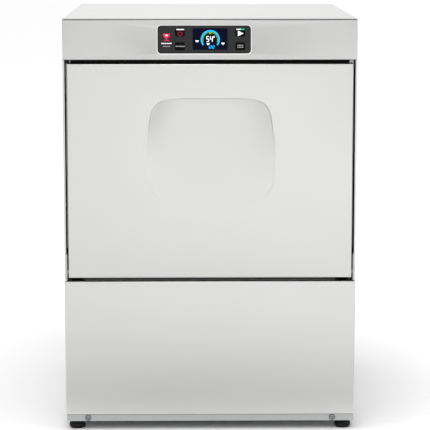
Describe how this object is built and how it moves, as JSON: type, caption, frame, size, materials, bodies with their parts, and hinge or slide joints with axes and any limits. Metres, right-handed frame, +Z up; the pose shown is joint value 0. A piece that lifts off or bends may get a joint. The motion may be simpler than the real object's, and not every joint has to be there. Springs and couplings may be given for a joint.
{
  "type": "glass washer machine",
  "caption": "Front-loading steel glass washer with a drop-down door, a pressed handle recess, a key and display panel, spray arms and a sliding glass basket.",
  "frame": {"origin": "on the floor, under the middle of the cabinet", "axes": "+Z up, the door faces -Y, +X to the right as seen from the front"},
  "size_m": [0.47, 0.535, 0.67],
  "materials": {
    "steel_sheet": "fine satin-ground stainless sheet",
    "satin_steel": "plain stainless, dull",
    "zinc_sheet": "stainless sheet, mill finish",
    "black_rubber": "matt",
    "black_plastic": "moulded",
    "grey_plastic": "moulded",
    "blue_plastic": "moulded polypropylene",
    "overlay_black": "hard-coated film",
    "display_glass": "lit display behind clear film",
    "motor_aluminium": "die-cast",
    "copper_pipe": "drawn pipe",
    "board_green": "lacquered board"
  },
  "bodies": {
    "cabinet": {"base_tray": "zinc_sheet", "side_panel_left": "steel_sheet", "side_panel_right": "steel_sheet", "rear_panel": "steel_sheet", "rear_panel_screws": "satin_steel", "top_cover": "steel_sheet", "control_fascia": "steel_sheet", "lower_front_panel": "steel_sheet", "lower_panel_screws": "satin_steel", "hinge_post_left": "zinc_sheet", "hinge_post_right": "zinc_sheet", "door_spring_left": "satin_steel", "door_spring_right": "satin_steel", "spring_anchors": "zinc_sheet", "door_seal": "black_rubber", "door_catches": "satin_steel", "wash_chamber": "steel_sheet", "sump_tank": "satin_steel", "basket_rail_left": "satin_steel", "basket_rail_right": "satin_steel", "filter_plates": "satin_steel", "sump_strainer": "grey_plastic", "tank_heater": "satin_steel", "lower_arm_post": "satin_steel", "upper_arm_post": "satin_steel", "arm_nuts": "grey_plastic", "wash_pump_motor": "motor_aluminium", "wash_pump_housing": "black_plastic", "suction_hose": "black_rubber", "wash_manifold": "black_rubber", "boiler": "steel_sheet", "rinse_pipe": "copper_pipe", "inlet_valve": "grey_plastic", "drain_pump": "black_plastic", "cable_gland": "black_plastic", "dosing_pumps": "grey_plastic", "terminal_box": "grey_plastic", "control_overlay": "overlay_black", "display_screen": "display_glass", "control_board": "board_green"},
    "door": {"door_outer_skin": "steel_sheet", "door_inner_skin": "steel_sheet", "hinge_arm_left": "satin_steel", "hinge_arm_right": "satin_steel", "hinge_pins": "satin_steel", "hinge_arm_screws": "satin_steel"},
    "power_key": {"button_power": "overlay_black"},
    "menu_key": {"button_menu": "overlay_black"},
    "start_key": {"button_start": "overlay_black"},
    "info_key": {"button_info": "overlay_black"},
    "front_left_foot": {"foot_front_left": "black_rubber"},
    "front_right_foot": {"foot_front_right": "black_rubber"},
    "rear_left_foot": {"foot_rear_left": "black_rubber"},
    "rear_right_foot": {"foot_rear_right": "black_rubber"},
    "lower_wash": {"lower_wash_arm": "satin_steel"},
    "lower_rinse": {"lower_rinse_arm": "satin_steel"},
    "upper_wash": {"upper_wash_arm": "satin_steel"},
    "upper_rinse": {"upper_rinse_arm": "satin_steel"},
    "impeller": {"pump_impeller": "satin_steel"},
    "basket": {"glass_basket": "blue_plastic"}
  },
  "joints": [
    {"name": "door_hinge", "type": "hinge", "parent": "cabinet", "child": "door", "pos_m": [0, -0.2575, 0.26], "axis": [1, 0, 0], "range_deg": [0, 90], "deforming": ["door_spring_left", "door_spring_right"]},
    {"name": "power_press", "type": "slide", "parent": "cabinet", "child": "power_key", "axis": [0, 1, 0], "range_m": [0, 0.001], "stiffness_N_per_m": 1500, "springref_m": -0.0005},
    {"name": "menu_press", "type": "slide", "parent": "cabinet", "child": "menu_key", "axis": [0, 1, 0], "range_m": [0, 0.001], "stiffness_N_per_m": 1500, "springref_m": -0.0005},
    {"name": "start_press", "type": "slide", "parent": "cabinet", "child": "start_key", "axis": [0, 1, 0], "range_m": [0, 0.001], "stiffness_N_per_m": 1500, "springref_m": -0.0005},
    {"name": "info_press", "type": "slide", "parent": "cabinet", "child": "info_key", "axis": [0, 1, 0], "range_m": [0, 0.001], "stiffness_N_per_m": 1500, "springref_m": -0.0005},
    {"name": "front_left_foot_height", "type": "slide", "parent": "cabinet", "child": "front_left_foot", "axis": [0, 0, -1], "range_m": [0, 0.012]},
    {"name": "front_right_foot_height", "type": "slide", "parent": "cabinet", "child": "front_right_foot", "axis": [0, 0, -1], "range_m": [0, 0.012]},
    {"name": "rear_left_foot_height", "type": "slide", "parent": "cabinet", "child": "rear_left_foot", "axis": [0, 0, -1], "range_m": [0, 0.012]},
    {"name": "rear_right_foot_height", "type": "slide", "parent": "cabinet", "child": "rear_right_foot", "axis": [0, 0, -1], "range_m": [0, 0.012]},
    {"name": "lower_wash_spin", "type": "hinge", "parent": "cabinet", "child": "lower_wash", "pos_m": [0, -0.022, 0.2705], "axis": [0, 0, 1], "continuous": true},
    {"name": "lower_rinse_spin", "type": "hinge", "parent": "cabinet", "child": "lower_rinse", "pos_m": [0, -0.022, 0.283], "axis": [0, 0, 1], "continuous": true},
    {"name": "upper_wash_spin", "type": "hinge", "parent": "cabinet", "child": "upper_wash", "pos_m": [0, -0.022, 0.5805], "axis": [0, 0, 1], "continuous": true},
    {"name": "upper_rinse_spin", "type": "hinge", "parent": "cabinet", "child": "upper_rinse", "pos_m": [0, -0.022, 0.568], "axis": [0, 0, 1], "continuous": true},
    {"name": "impeller_spin", "type": "hinge", "parent": "cabinet", "child": "impeller", "pos_m": [-0.095, -0.01, 0.095], "axis": [0, 1, 0], "continuous": true},
    {"name": "basket_slide", "type": "slide", "parent": "cabinet", "child": "basket", "axis": [0, -1, 0], "range_m": [0, 0.01]}
  ]
}
